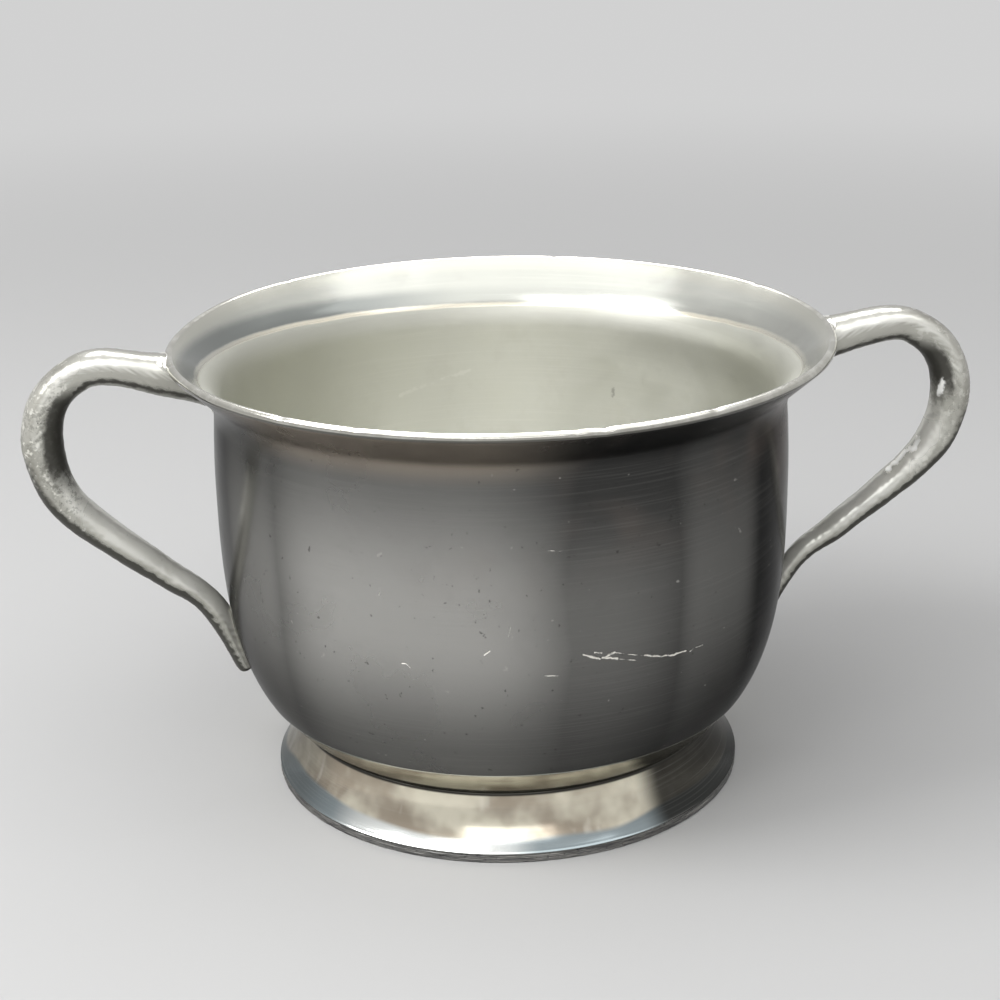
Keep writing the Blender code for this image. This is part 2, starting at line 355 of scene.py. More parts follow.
def press_lip(points):
    """How the spun wall departs from a true circle."""
    radius = np.hypot(points[..., 0], points[..., 1])
    azimuth = np.arctan2(points[..., 1], points[..., 0])
    flare = np.clip((points[..., 2] - FLARE_START) / (BOWL_HEIGHT - FLARE_START), 0, 1)
    nicks = sum(
        depth * bell(angle_from(azimuth, degrees) * LIP_RADIUS, width)
        for degrees, width, depth in LIP_NICKS
    )
    wave = waves(points * np.array([1.0, 1.0, 0.6]), WALL_WAVE_LENGTH, seed=3)
    pressed = LIP_PRESS_DEPTH * bell(angle_from(azimuth, LIP_PRESS_AZIMUTH), LIP_PRESS_WIDTH)
    inward = pressed * flare**1.5 + nicks * flare**6
    inward += WALL_WAVE * (1 + wave) * np.clip(radius / BELLY_RADIUS, 0, 1) ** 2
    moved = points.copy()
    moved[..., :2] *= (1 - inward / np.maximum(radius, 0.001))[..., None]
    moved[..., 2] -= nicks * flare**10
    return moved


def make_bowl(*finishes):
    """The bowl, with its finishes in this order: inside, flare, lip, outside, band."""
    in_flare = INSIDE[1:, 1] > WIPED_ABOVE
    in_band = OUTSIDE[:-1, 1] < BAND_TOP - 0.00001
    bands = np.concatenate([0 + in_flare, [2] * (len(LIP) + 1), (3 + in_band)[::-1]])
    rings = press_lip(turned(np.concatenate([INSIDE, LIP, OUTSIDE[::-1]])))
    bowl = skin("bowl", rings, finishes, "points", bands.tolist())
    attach(bowl, "root")
    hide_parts("bowl_body")


# Foot

def make_foot(polished, turned_edge):
    outer = skirt_face(0.0, 26)
    outer = outer[outer[:, 1] <= underside_height(outer[:, 0]) + BOWL_SHEET / 2]
    rest_radius = FOOT_RADIUS - FOOT_REST_WIDTH
    inner = skirt_face(FOOT_SHEET, 14)
    inner = inner[inner[:, 0] < rest_radius]
    arris = outer[-1] + np.array([[-0.3, 0.12], [-0.08, 0.02], [0, -0.25]]) * FOOT_ARRIS
    height = np.linspace(arris[-1][1] - FOOT_ARRIS, REST_OUTER_CHAMFER, 6 * FOOT_GROOVES)
    groove_turn = np.linspace(0, 2 * math.pi * FOOT_GROOVES, len(height))
    edge = np.stack([FOOT_RADIUS - FOOT_GROOVE_DEPTH * (0.5 - 0.5 * np.cos(groove_turn)), height], 1)
    rest = np.array([
        [FOOT_RADIUS - REST_OUTER_CHAMFER, 0.0],
        [rest_radius + REST_INNER_CHAMFER, 0.0],
        [rest_radius, REST_INNER_CHAMFER],
        [rest_radius, FOOT_EDGE_HEIGHT],
    ])
    profile = np.concatenate([outer[:-1], arris, edge, rest, inner[::-1]])[::-1]
    rings = turned(profile)
    radius = np.hypot(rings[..., 0], rings[..., 1])
    at_edge = (radius > FOOT_RADIUS - 0.0004) & (rings[..., 2] < FOOT_EDGE_HEIGHT - 0.0001)
    rough = FOOT_EDGE_ROUGHNESS * (1 + waves(rings * np.array([1, 1, 3.0]), 0.0016, seed=5))
    rings[..., :2] *= (1 - np.where(at_edge, rough, 0) / radius)[..., None]
    bands = [int(level < FOOT_EDGE_HEIGHT - 0.0002) for level in profile[:, 1]]
    foot = skin("foot_ring", rings, [polished, turned_edge], "joined", bands)
    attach(foot, "root")
    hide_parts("foot")


def make_foot_solder(finish):
    low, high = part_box("foot_solder_fillet")
    inner = skirt_face(FOOT_SHEET, 40)
    down_skirt = inner[(inner[:, 1] < high.z + 0.0004) & (inner[:, 1] > low.z)]
    corner = down_skirt[0]
    radius = corner[0] - np.linspace(0, FOOT_SOLDER_REACH, 8)[1:]
    along_bowl = np.stack([radius, underside_height(radius)], 1)
    start, end = down_skirt[-1], along_bowl[-1]
    hollow = fillet(start, corner * 0.8 + (start + end) * 0.1, end, 10)
    rings = turned(np.concatenate([
        hollow,
        along_bowl[::-1] + [0, FOOT_SOLDER_BITE],
        down_skirt + [FOOT_SOLDER_BITE, 0],
    ]), 240)
    ripple = waves(rings, 0.006, seed=11) * FOOT_SOLDER_RIPPLE
    rings[: len(hollow), :, 2] += ripple[: len(hollow)]
    solder = skin("foot_solder", rings, [finish], "joined")
    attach(solder, "root")
    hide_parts("foot_solder_fillet")


# Handles

def smooth_line(stations, steps):
    """Catmull-Rom curve through the stations, with evenly spread points."""
    stations = np.asarray(stations)
    padded = np.concatenate([stations[:1], stations, stations[-1:]])
    fine = []
    for span in range(len(stations) - 1):
        before, start, end, after = padded[span : span + 4]
        rise, leave = (end - before) / 2, (after - start) / 2
        share = np.linspace(0, 1, 24, endpoint=False)[:, None]
        fine.append(
            start + rise * share
            + (3 * (end - start) - 2 * rise - leave) * share**2
            + (2 * (start - end) + rise + leave) * share**3
        )
    fine = np.concatenate(fine + [stations[-1:]])
    length = np.concatenate([[0], np.cumsum(np.linalg.norm(np.diff(fine[:, :2], axis=0), axis=1))])
    even = np.linspace(0, length[-1], steps + 1)
    return np.stack([np.interp(even, length, fine[:, column]) for column in range(3)], 1), even


def limb_line(spread, tuck, slimming):
    stations = []
    tip_below = HANDLE_STATIONS[-1][1]
    for out, below, depth in HANDLE_STATIONS:
        towards_tip = (below / tip_below) ** 2
        height = BOWL_HEIGHT - below
        radius = float(wall_radius(height)) + out * spread - tuck * towards_tip
        stations.append((radius, height, depth * (1 - slimming * towards_tip)))
    return smooth_line(stations, LIMB_STEPS)


def nearest_on_bowl(points):
    """The nearest places on the bowl's outer surface, as radius and height, and the distance to
    them, positive outside it."""
    flat = np.stack([np.hypot(points[..., 0], points[..., 1]), points[..., 2]], -1).reshape(-1, 2)
    found = np.zeros_like(flat)
    best = np.full(len(flat), np.inf)
    sign = np.ones(len(flat))
    for start, along in zip(SURFACE, np.diff(SURFACE, axis=0)):
        share = np.clip((flat - start) @ along / (along @ along), 0, 1)[:, None]
        place = start + share * along
        gap = flat - place
        distance = np.hypot(gap[:, 0], gap[:, 1])
        nearer = distance < best - SAME_DISTANCE
        best[nearer] = distance[nearer]
        found[nearer] = place[nearer]
        sign[nearer] = np.where(gap[nearer] @ np.array([along[1], -along[0]]) >= 0, 1.0, -1.0)
    return found.reshape(points.shape[:-1] + (2,)), (best * sign).reshape(points.shape[:-1])


def outside_bowl(points):
    """Signed distance of points from the bowl's outer surface, positive outside it."""
    return nearest_on_bowl(points)[1]


def onto_bowl(points):
    """The nearest points of the bowl's outer surface."""
    radius, height = np.moveaxis(nearest_on_bowl(points)[0], -1, 0)
    azimuth = np.arctan2(points[..., 1], points[..., 0])
    return np.stack([radius * np.cos(azimuth), radius * np.sin(azimuth), height], -1)


def outward(side):
    """The level direction in which a handle leaves the bowl."""
    azimuth = math.pi + HANDLE_TURN if side == "left" else -HANDLE_TURN
    return np.array([math.cos(azimuth), math.sin(azimuth), 0.0])


def limb_rings(side):
    """Rings of the swept limb, and the direction outwards from its centre line at each of
    their points."""
    out = outward(side)
    across = np.cross(UP, out)
    line, length = limb_line(*FITTINGS[side])
    along = np.gradient(line[:, :2], axis=0)
    along /= np.linalg.norm(along, axis=1, keepdims=True)
    along = along[:, :1] * out + along[:, 1:] * UP
    outer = np.cross(np.broadcast_to(across, along.shape), along)
    centre = line[:, :1] * out + line[:, 1:2] * UP
    end = np.clip((length[-1] - length) / TIP_ROUNDING, 0, 1)[:, None]
    depth = line[:, 2, None] * np.sqrt(np.clip(1 - (1 - end) ** 2, 0.02, 1))
    rounder = np.clip((length / length[-1] - ROUNDER_FROM) / ROUNDER_OVER, 0, 1)[:, None]
    rounder = rounder**2 * (3 - 2 * rounder)
    flatness = LIMB_INNER_FLATNESS * (1 - rounder) + rounder
    turn = np.linspace(0, 2 * math.pi, LIMB_SIDES, endpoint=False)
    deep = np.broadcast_to(np.cos(turn), (len(line), LIMB_SIDES))
    deep = np.where(
        deep >= 0,
        deep * LIMB_OUTER_SHARE,
        -(np.abs(deep) ** flatness) * (1 - LIMB_OUTER_SHARE),
    )
    wide = np.sin(turn) * LIMB_WIDTH_PER_DEPTH / 2
    ray = outer[:, None] * (depth * deep)[..., None] + across * (depth * wide)[..., None]
    rings = centre[:, None] + ray
    return rings, ray / np.linalg.norm(ray, axis=2, keepdims=True)


def crossing(gap, level):
    """The last place along a row, counted in steps, where its distance to the bowl is this."""
    below = np.nonzero(gap < level)[0]
    if len(below) == 0:
        return float(np.argmin(gap))
    last = below[-1]
    return last + (level - gap[last]) / (gap[last + 1] - gap[last])


def along_row(row, place):
    """Points of a lengthwise row at these places, counted in steps."""
    return np.stack([np.interp(place, np.arange(len(row)), values) for values in row.T], -1)


def into_lip(rings):
    """Each lengthwise row of the limb starts where it meets the lip, a little way inside it."""
    gaps = outside_bowl(rings[: LIMB_STEPS // 3])
    place = np.arange(LIMB_STEPS + 1, dtype=float)
    even = np.clip(place / (LIMB_STEPS / 4), 0, 1)  # rows keep their spacing beyond the joint
    started = rings.copy()
    joint = np.zeros((rings.shape[1], 3))
    for corner in range(rings.shape[1]):
        row, gap = rings[:, corner], gaps[:, corner]
        first = crossing(gap, -SINK)
        fresh = np.linspace(first, LIMB_STEPS, LIMB_STEPS + 1)
        blend = fresh * (1 - even) + np.maximum(place, fresh) * even if first > 0 else place
        started[:, corner] = along_row(row, blend)
        joint[corner] = along_row(row, crossing(gap, 0.0))
    return started, joint


def make_handle(side, finish):
    """The casting. Its rings and the points where it meets the lip are what the solder needs."""
    rings, ray = limb_rings(side)
    rings, joint = into_lip(rings)
    lumps = waves(rings, 0.009, seed=20 + (side == "right")) * CAST_LUMPS
    grain = waves(rings, 0.0013, count=40, seed=30 + (side == "right")) * CAST_GRAIN
    shift = np.minimum(lumps + grain - CAST_LUMPS - CAST_GRAIN, 0.0)
    ends = np.clip(np.arange(len(rings)) / 12, 0, 1)[:, None]
    rings = rings + ray * (shift * ends)[..., None]
    handle = skin(f"handle_{side}_casting", rings[::-1], [finish], "caps")
    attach(handle, "root")
    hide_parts(f"handle_{side}")
    return rings, joint


def make_top_solder(side, rings, joint, finish):
    """The fillet of solder round the joint of a handle and the lip."""
    centre = joint.mean(0)
    sides = len(joint)
    waver = waves(joint, 0.006, seed=41 + (side == "right"))
    reach = TOP_SOLDER_REACH + TOP_SOLDER_WAVER * waver
    # on the handle it ends at this reach along each row, away from the lip
    length = np.linalg.norm(rings - joint, axis=2)
    clear = (length > reach) & (outside_bowl(rings) > 0)
    start = np.argmax(clear, axis=0).astype(float)
    for _ in range(8):
        start = (np.roll(start, 1) + 2 * start + np.roll(start, -1)) / 4
    on_handle = np.array([along_row(rings[:, corner], start[corner]) for corner in range(sides)])
    away = joint - centre
    away /= np.linalg.norm(away, axis=1, keepdims=True)
    on_bowl = onto_bowl(joint + away * reach[:, None] * 1.2)
    corner_point = onto_bowl(joint)
    pull = corner_point + 0.12 * ((on_handle + on_bowl) / 2 - corner_point)
    arc = fillet(on_handle, pull, on_bowl, 9)
    inward = on_bowl * [-1.0, -1.0, 0.0]
    inward /= np.linalg.norm(inward, axis=1, keepdims=True)
    inner_bowl = on_bowl + inward * HANDLE_SOLDER_BITE
    middle = corner_point + inward * HANDLE_SOLDER_BITE * 1.5 + (centre - corner_point) * 0.15
    inner_handle = on_handle * 0.9 + centre * 0.1
    loop = np.concatenate([arc, [inner_bowl, middle, inner_handle]])
    solder = skin(f"handle_{side}_top_solder_fillet", loop, [finish], "joined")
    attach(solder, "root")
    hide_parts(f"handle_{side}_top_solder")


def make_tip_solder(side, rings, finish):
    """The fillet of solder along both edges of a handle's tip and under its end."""
    out = outward(side)
    across = np.cross(UP, out)
    lower = rings[LIMB_STEPS * 2 // 3 :]
    gaps = outside_bowl(lower)
    # where each ring's side meets the wall, on either side of the limb
    touching = np.nonzero(gaps.min(axis=1) < 0.0001)[0]
    left, right = [], []
    for index in touching[:: max(len(touching) // 24, 1)]:
        near = lower[index][gaps[index] < max(0.0002, gaps[index].min() + 0.00005)]
        left.append(near[np.argmin(near @ across)])
        right.append(near[np.argmax(near @ across)])
    loop = onto_bowl(np.array(left + [lower[-1].mean(0)] + right[::-1]))
    for _ in range(2):
        loop = (np.roll(loop, 1, 0) + 2 * loop + np.roll(loop, -1, 0)) / 4
    away = (loop - loop.mean(0)) * [1.0, 1.0, 0.25]
    away /= np.linalg.norm(away, axis=1, keepdims=True)
    waver = waves(loop, 0.003, seed=51 + (side == "right"))[:, None]
    width = TIP_SOLDER_REACH + TIP_SOLDER_WAVER * waver
    raised = loop - away * width * 0.2 + out * width
    arc = fillet(raised, loop, onto_bowl(loop + away * width), 7)
    loops = np.concatenate([arc, [loop - out * HANDLE_SOLDER_BITE]])
    solder = skin(f"handle_{side}_tip_solder_fillet", loops, [finish], "joined")
    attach(solder, "root")
    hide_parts(f"handle_{side}_tip_solder")


# Materials

class Nodes:
    """The nodes of one material, or of the sky."""

    def __init__(self, owner):
        owner.use_nodes = True
        self.tree = owner.node_tree

    def node(self, kind, inputs=None, **settings):
        """A node with these settings. Each input is a value, or another node's output."""
        made = self.tree.nodes.new(kind)
        for key, value in settings.items():
            setattr(made, key, value)
        for key, value in (inputs or {}).items():
            if isinstance(value, bpy.types.NodeSocket):
                self.tree.links.new(value, made.inputs[key])
            else:
                made.inputs[key].default_value = value
        return made

    def math(self, operation, first, second=0.0, third=0.0):
        inputs = {0: first, 1: second, 2: third}
        return self.node("ShaderNodeMath", inputs, operation=operation).outputs[0]

    def times(self, first, second):
        return self.math("MULTIPLY", first, second)

    def scaled(self, value, rate, start):
        """The value times the rate, plus the start."""
        return self.math("MULTIPLY_ADD", value, rate, start)

    def larger(self, first, second):
        return self.math("MAXIMUM", first, second)

    def vector(self, operation, first, second=(0.0, 0.0, 0.0)):
        other = "Scale" if operation == "SCALE" else 1
        made = self.node("ShaderNodeVectorMath", {0: first, other: second}, operation=operation)
        is_number = operation in ("LENGTH", "DISTANCE", "DOT_PRODUCT")
        return made.outputs["Value" if is_number else "Vector"]

    def parts(self, vector):
        return self.node("ShaderNodeSeparateXYZ", {0: vector}).outputs

    def step(self, value, start, end, top=1.0, base=0.0):
        """Runs smoothly from base to top while the value runs from start to end."""
        return self.node("ShaderNodeMapRange", {
            "Value": value, "From Min": start, "From Max": end, "To Min": base, "To Max": top,
        }, interpolation_type="SMOOTHSTEP").outputs[0]

    def mix(self, share, first, second):
        inputs = {0: share, 6: first, 7: second}
        for index in (6, 7):
            if isinstance(inputs[index], tuple):
                inputs[index] = (*inputs[index], 1.0)
        return self.node("ShaderNodeMix", inputs, data_type="RGBA").outputs[2]


class Finish(Nodes):
    """A metal whose colour, roughness and relief come from nodes in object coordinates."""

    def __init__(self, name, metallic=1.0, anisotropy=0.0, turn=0.0, edge_tint=1.0):
        self.material = bpy.data.materials.new(name)
        super().__init__(self.material)
        self.shader = self.tree.nodes["Principled BSDF"]
        self.shader.inputs["Metallic"].default_value = metallic
        self.shader.inputs["Anisotropic"].default_value = anisotropy
        self.shader.inputs["Anisotropic Rotation"].default_value = turn
        self.shader.inputs["Specular Tint"].default_value = (edge_tint, edge_tint, edge_tint, 1.0)
        self.place = self.node("ShaderNodeTexCoord").outputs["Object"]
        self.colour = None
        self.relief = None
        self.wander = None

    def noise(self, scale, detail=3.0, rough=0.5, place=None, seed=0.0, distortion=0.0):
        moved = self.vector("ADD", place or self.place, (seed, seed * 0.37, seed * 0.71))
        return self.node("ShaderNodeTexNoise", {
            "Vector": moved, "Scale": scale, "Detail": detail, "Roughness": rough,
            "Distortion": distortion,
        }).outputs[0]

    def spun(self, around, across, slope=1.0, detail=2.0, rough=0.6, seed=0.0):
        """Noise stretched along the spinning direction: its lines run round the axis."""
        parts = self.parts(self.place)
        flat = self.node("ShaderNodeCombineXYZ", {0: parts[0], 1: parts[1]}).outputs[0]
        rise = self.scaled(self.vector("LENGTH", flat), slope, parts[2])
        place = self.node("ShaderNodeCombineXYZ", {
            0: self.times(parts[0], around),
            1: self.times(parts[1], around),
            2: self.times(rise, across),
        }).outputs[0]
        return self.noise(1.0, detail, rough, place, seed)

    def facing(self, azimuth):
        """Cosine of the angle round the axis between a place and this azimuth in degrees."""
        flat = self.vector("NORMALIZE", self.vector("MULTIPLY", self.place, (1.0, 1.0, 0.0)))
        turn = math.radians(azimuth)
        return self.vector("DOT_PRODUCT", flat, (math.cos(turn), math.sin(turn), 0.0))

    def paint(self, share, colour, strength=None):
        """Lays a colour over what is there so far."""
        if strength is not None:
            share = self.times(share, strength)
        self.colour = self.mix(share, self.colour, colour)

    def bump(self, height, strength, distance=0.0002):
        inputs = {"Height": height, "Strength": strength, "Distance": distance}
        if self.relief:
            inputs["Normal"] = self.relief
        self.relief = self.node("ShaderNodeBump", inputs).outputs[0]

    def scratch(self, start, end, width, share=1.0):
        """1 along a line between two points of the surface, 0 away from it."""
        start, end = Vector(start), Vector(end)
        along = end - start
        if self.wander is None:
            inputs = {"Vector": self.place, "Scale": 900.0, "Detail": 2.0}
            noise = self.node("ShaderNodeTexNoise", inputs)
            self.wander = self.vector("SUBTRACT", noise.outputs["Color"], (0.5, 0.5, 0.5))
        wander = self.vector("SCALE", self.wander, width * 2.5)
        away = self.vector("SUBTRACT", self.vector("ADD", self.place, wander), tuple(start))
        covered = self.vector("DOT_PRODUCT", away, tuple(along))
        place = self.math("DIVIDE", covered, along.length_squared)
        held = self.node("ShaderNodeClamp", {"Value": place}).outputs[0]
        near = self.vector("SCALE", tuple(along), held)
        return self.step(self.vector("DISTANCE", away, near), width, width * 0.3, share)

    def done(self, roughness):
        self.tree.links.new(self.colour, self.shader.inputs["Base Color"])
        self.tree.links.new(roughness, self.shader.inputs["Roughness"])
        if self.relief:
            self.tree.links.new(self.relief, self.shader.inputs["Normal"])
        return self.material


# Marks on the outside, each a run of (azimuth in degrees, height in mm), with a width in mm
OUTSIDE_MARKS = (
    (0.20, ((-83.5, 38.6), (-80.3, 37.5))),
    (0.22, ((-81.2, 38.7), (-80.0, 38.5))),
    (0.26, ((-79.8, 37.7), (-78.5, 37.9), (-77.4, 38.2))),
    (0.24, ((-79.5, 37.6), (-76.7, 37.0))),
    (0.12, ((-76.7, 37.0), (-72.2, 35.9))),
    (0.10, ((-77.2, 38.1), (-71.2, 36.6))),
    (0.20, ((-71.2, 36.6), (-67.9, 35.8), (-65.1, 35.4), (-61.8, 35.4))),
    (0.15, ((-60.7, 35.0), (-59.8, 35.3), (-57.4, 35.3))),
    (0.11, ((-116.7, 37.2), (-115.9, 37.3), (-115.1, 36.7))),
    (0.11, ((-101.4, 39.5), (-100.3, 40.2))),
    (0.09, ((-89.7, 55.8), (-87.3, 55.6))),
    (0.11, ((-90.5, 35.7), (-88.1, 35.5))),
    (0.07, ((-96.5, 44.2), (-97.0, 42.5))),
    (0.09, ((-120.5, 48.0), (-119.8, 49.6))),
    (0.09, ((38.0, 41.0), (42.0, 42.0), (46.0, 42.6), (50.0, 44.0))),
    (0.11, ((110.0, 30.0), (114.0, 31.0), (118.0, 33.0))),
    (0.09, ((86.0, 52.0), (90.0, 51.7), (93.0, 51.2))),
)
MARK_STRIDE = 3.0  # degrees: a longer straight run would dip below the round wall


def wall_marks(finish):
    marks = None
    for width, run in OUTSIDE_MARKS:
        for (start, low), (end, high) in zip(run, run[1:]):
            count = max(math.ceil(abs(end - start) / MARK_STRIDE), 1)
            turn = np.radians(np.linspace(start, end, count + 1))
            height = np.linspace(low, high, count + 1) / 1000
            radius = wall_radius(height)
            stops = np.stack([radius * np.cos(turn), radius * np.sin(turn), height], 1).tolist()
            for one, other in zip(stops, stops[1:]):
                mark = finish.scratch(one, other, width / 1000)
                marks = mark if marks is None else finish.larger(marks, mark)
    return marks


# The outside is painted lighter where its reflections are bright and darker elsewhere: painted
# reflections, fixed round the axis
PAINTED_LIGHT_FRONT = -116.0
PAINTED_LIGHT_RIGHT = -53.0
PAINTED_LIGHT_BACK = 62.0
PAINTED_LIGHT_LEFT = -153.0
# and painted darkest beside the handles' joints, standing in for dark reflections
PAINTED_DARK_RIGHT = -24.0
PAINTED_DARK_LEFT = -180.0


def outside_pewter():
    look = Finish("pewter_outside", anisotropy=0.8, turn=0.25, edge_tint=0.55)
    lines = look.spun(45.0, 3200.0)
    broad = look.noise(17.0, seed=1.3)
    cloud = look.noise(70.0, 4.0, 0.6, seed=4.1, distortion=0.4)
    height = look.parts(look.place)[2]
    uneven = look.scaled(broad, 0.16, -0.08)
    # Painted reflections: the colour runs from a dark base to a light one by azimuth round the axis,
    # with noise in the edges of the zones.
    from_front = look.math("ADD", look.facing(PAINTED_LIGHT_FRONT), uneven)
    upper = look.step(height, 0.070, 0.046)
    beside = look.times(look.step(from_front, 0.45, 0.82, 0.36), look.scaled(upper, 0.85, 0.15))
    front = look.larger(look.step(from_front, 0.80, 0.995), beside)
    back = look.step(look.math("ADD", look.facing(PAINTED_LIGHT_BACK), uneven), 0.70, 0.99)
    right = look.step(look.facing(PAINTED_LIGHT_RIGHT), 0.972, 0.996, 0.32)
    left = look.step(look.facing(PAINTED_LIGHT_LEFT), 0.972, 0.998, 0.62)
    # The painted light fades out towards the top, under the rim, and towards the bottom: painted shade
    # there.
    level = look.times(upper, look.step(height, 0.020, 0.042))
    painted_light = look.larger(look.larger(front, look.larger(right, left)), back)
    painted_light = look.times(painted_light, look.scaled(level, 0.71, 0.29))
    # Painted shade: the dark base is darker still beside the handles' joints.
    painted_dark = look.step(look.facing(PAINTED_DARK_RIGHT), 0.82, 0.95)
    painted_dark = look.larger(painted_dark, look.step(look.facing(PAINTED_DARK_LEFT), 0.965, 0.992))
    dark = look.mix(look.times(painted_dark, 0.6), (0.042, 0.042, 0.041), (0.010, 0.010, 0.010))
    look.colour = look.mix(painted_light, dark, (0.42, 0.415, 0.395))
    warm = look.step(look.noise(30.0, rough=0.55, seed=8.8), 0.5, 0.68)
    warm = look.times(warm, look.step(height, 0.045, 0.066))
    look.paint(warm, (0.200, 0.160, 0.138), 0.7)
    browned = look.times(look.step(height, 0.0650, 0.0705), look.step(from_front, 0.80, 0.985))
    look.paint(browned, (0.42, 0.36, 0.295), 0.8)
    look.paint(look.step(cloud, 0.50, 0.74, 0.09), (0.070, 0.068, 0.066))
    look.paint(look.step(lines, 0.45, 0.75, 0.12), (0.30, 0.295, 0.28))
    pits = look.step(look.noise(900.0, 2.0, 0.6, seed=6.5), 0.68, 0.76)
    look.paint(pits, (0.05, 0.048, 0.045), 0.6)
    specks = look.step(look.noise(700.0, 2.0, 0.6, seed=16.5), 0.72, 0.78)
    look.paint(specks, (0.5, 0.49, 0.46), 0.5)
    marks = wall_marks(look)
    look.paint(marks, (0.95, 0.93, 0.86))
    roughness = look.scaled(look.step(cloud, 0.35, 0.7), 0.05, 0.23)
    roughness = look.scaled(marks, 0.35, roughness)
    look.bump(lines, 0.03)
    look.bump(look.math("SUBTRACT", 0.0, marks), 0.6)
    return look.done(roughness)


CREASE_SHADE = (0.05, 0.048, 0.042)  # painted shade, where the foot meets the bowl
BEND_TONE = (0.54, 0.54, 0.485)  # a darker tone in the inner bend, just below the wiped flare
INSIDE_BRIGHT = 70.0  # the azimuth where the inside is painted brightest: painted light, with painted shade away from it
INSIDE_DULL = 25.0  # and where it is painted darker below the flare: painted shade
# A bright streak and a dark spot on the far side: their ends
INSIDE_STREAK = ((-0.0132, 0.0443, 0.0526), (0.0004, 0.0462, 0.0562))
INSIDE_SPOT = ((0.0263, 0.0380, 0.0520), (0.0263, 0.0380, 0.0530))


def inside_pewter():
    look = Finish("pewter_inside", metallic=0.9, anisotropy=0.4, turn=0.25)
    lines = look.spun(40.0, 2400.0)
    broad = look.noise(20.0, seed=3.3)
    cloud = look.noise(110.0, 4.0, 0.6, seed=5.1)
    look.colour = look.mix(look.step(broad, 0.35, 0.7), (0.77, 0.77, 0.715), (0.88, 0.88, 0.845))
    look.paint(look.step(cloud, 0.5, 0.75, 0.3), (0.64, 0.63, 0.55))
    look.paint(look.step(lines, 0.45, 0.8, 0.2), (0.92, 0.91, 0.87))
    # Painted light and shade: the inside is painted darker away from its brightest azimuth.
    inside_shade = look.step(look.scaled(broad, 0.2, look.facing(INSIDE_BRIGHT)), 0.95, 0.55)
    look.paint(inside_shade, (0.58, 0.58, 0.52))
    height = look.parts(look.place)[2]
    # Painted shade in a band below the flare, strongest near INSIDE_DULL.
    below_flare = look.times(look.step(height, 0.056, 0.063), look.step(height, 0.069, 0.064))
    below_flare = look.times(below_flare, look.step(look.facing(INSIDE_DULL), 0.80, 0.97))
    look.paint(below_flare, (0.42, 0.42, 0.38), 0.45)
    look.paint(look.step(height, 0.0640, 0.0690), BEND_TONE)
    floor = look.step(look.scaled(broad, 0.003, height), 0.0185, 0.0140)
    look.paint(floor, (0.44, 0.44, 0.40))
    marks = look.scratch(*INSIDE_STREAK, 0.0005, 0.35)
    spot = look.scratch(*INSIDE_SPOT, 0.0006, 0.6)
    look.paint(marks, (0.97, 0.96, 0.92))
    look.paint(spot, (0.35, 0.34, 0.31))
    roughness = look.scaled(look.step(cloud, 0.3, 0.7), 0.08, 0.40)
    roughness = look.scaled(floor, 0.18, roughness)
    look.bump(lines, 0.05)
    return look.done(roughness)


FLARE_BACK = 82.0  # the azimuth where the wiped part of the flare, edged by a painted highlight line, reaches lowest
FLARE_DULL = 150.0  # and where its painted dark reflection is strongest
FLARE_TILT = 0.0032  # how far that lower edge falls from the sides to the back


def flare_pewter():
    """The inside of the flare, kept bright by wiping, with a painted highlight line along its lower
    edge and a painted dark reflection above that.
    """
    look = Finish("pewter_flare", metallic=0.9, anisotropy=0.4, turn=0.25)
    lines = look.spun(40.0, 2400.0)
    broad = look.noise(26.0, seed=3.9)
    cloud = look.noise(130.0, 4.0, 0.6, seed=5.7)
    look.colour = look.mix(look.step(broad, 0.35, 0.7), (0.47, 0.475, 0.435), (0.60, 0.60, 0.56))
    look.paint(look.step(cloud, 0.5, 0.75, 0.25), (0.34, 0.335, 0.30))
    look.paint(look.step(lines, 0.45, 0.8, 0.15), (0.66, 0.65, 0.61))
    height = look.parts(look.place)[2]
    lifted = look.scaled(look.facing(FLARE_BACK), FLARE_TILT, look.math("SUBTRACT", height, FLARE_TILT))
    lifted = look.scaled(cloud, 0.0005, lifted)
    # Painted dark reflection in a band above the lower edge, strongest towards FLARE_DULL.
    dark_reflection = look.times(look.step(lifted, 0.0691, 0.0695), look.step(lifted, 0.0724, 0.0708))
    dark_reflection = look.times(dark_reflection, look.step(look.facing(FLARE_DULL), 0.45, 0.9, 0.85, base=0.20))
    look.paint(look.step(height, 0.0735, 0.0755, 0.5), (0.62, 0.61, 0.53))
    look.paint(dark_reflection, (0.20, 0.215, 0.21))
    # A darker tone below the flare's lower edge.
    below_line = look.step(lifted, 0.0689, 0.0684)
    look.paint(below_line, BEND_TONE)
    # Painted highlight: a cream line along the lower edge of the wiped part.
    line = look.times(look.step(lifted, 0.0684, 0.0687), look.step(lifted, 0.0694, 0.0690))
    line = look.times(line, look.step(look.facing(FLARE_BACK), 0.1, 0.8, 0.9, base=0.25))
    look.paint(line, (0.90, 0.84, 0.70))
    roughness = look.scaled(look.step(cloud, 0.3, 0.7), 0.06, 0.16)
    roughness = look.scaled(below_line, 0.25, roughness)
    look.bump(lines, 0.04)
    return look.done(roughness)


def band_pewter():
    """The polished band between the belly's edge and the foot."""
    look = Finish("pewter_band", edge_tint=0.7)
    broad = look.noise(60.0, seed=7.9)
    height = look.parts(look.place)[2]
    ragged = look.scaled(broad, 0.0016, height)
    # Painted reflection: the band is painted light towards its top and darker below, with a ragged
    # edge.
    look.colour = look.mix(look.step(ragged, 0.0130, 0.0165), (0.42, 0.41, 0.35), (0.88, 0.86, 0.76))
    # Painted shade in the crease where the band meets the foot.
    look.paint(look.step(height, 0.0098, 0.0095), CREASE_SHADE)
    roughness = look.scaled(broad, 0.08, 0.12)
    look.bump(broad, 0.02, 0.0004)
    return look.done(roughness)


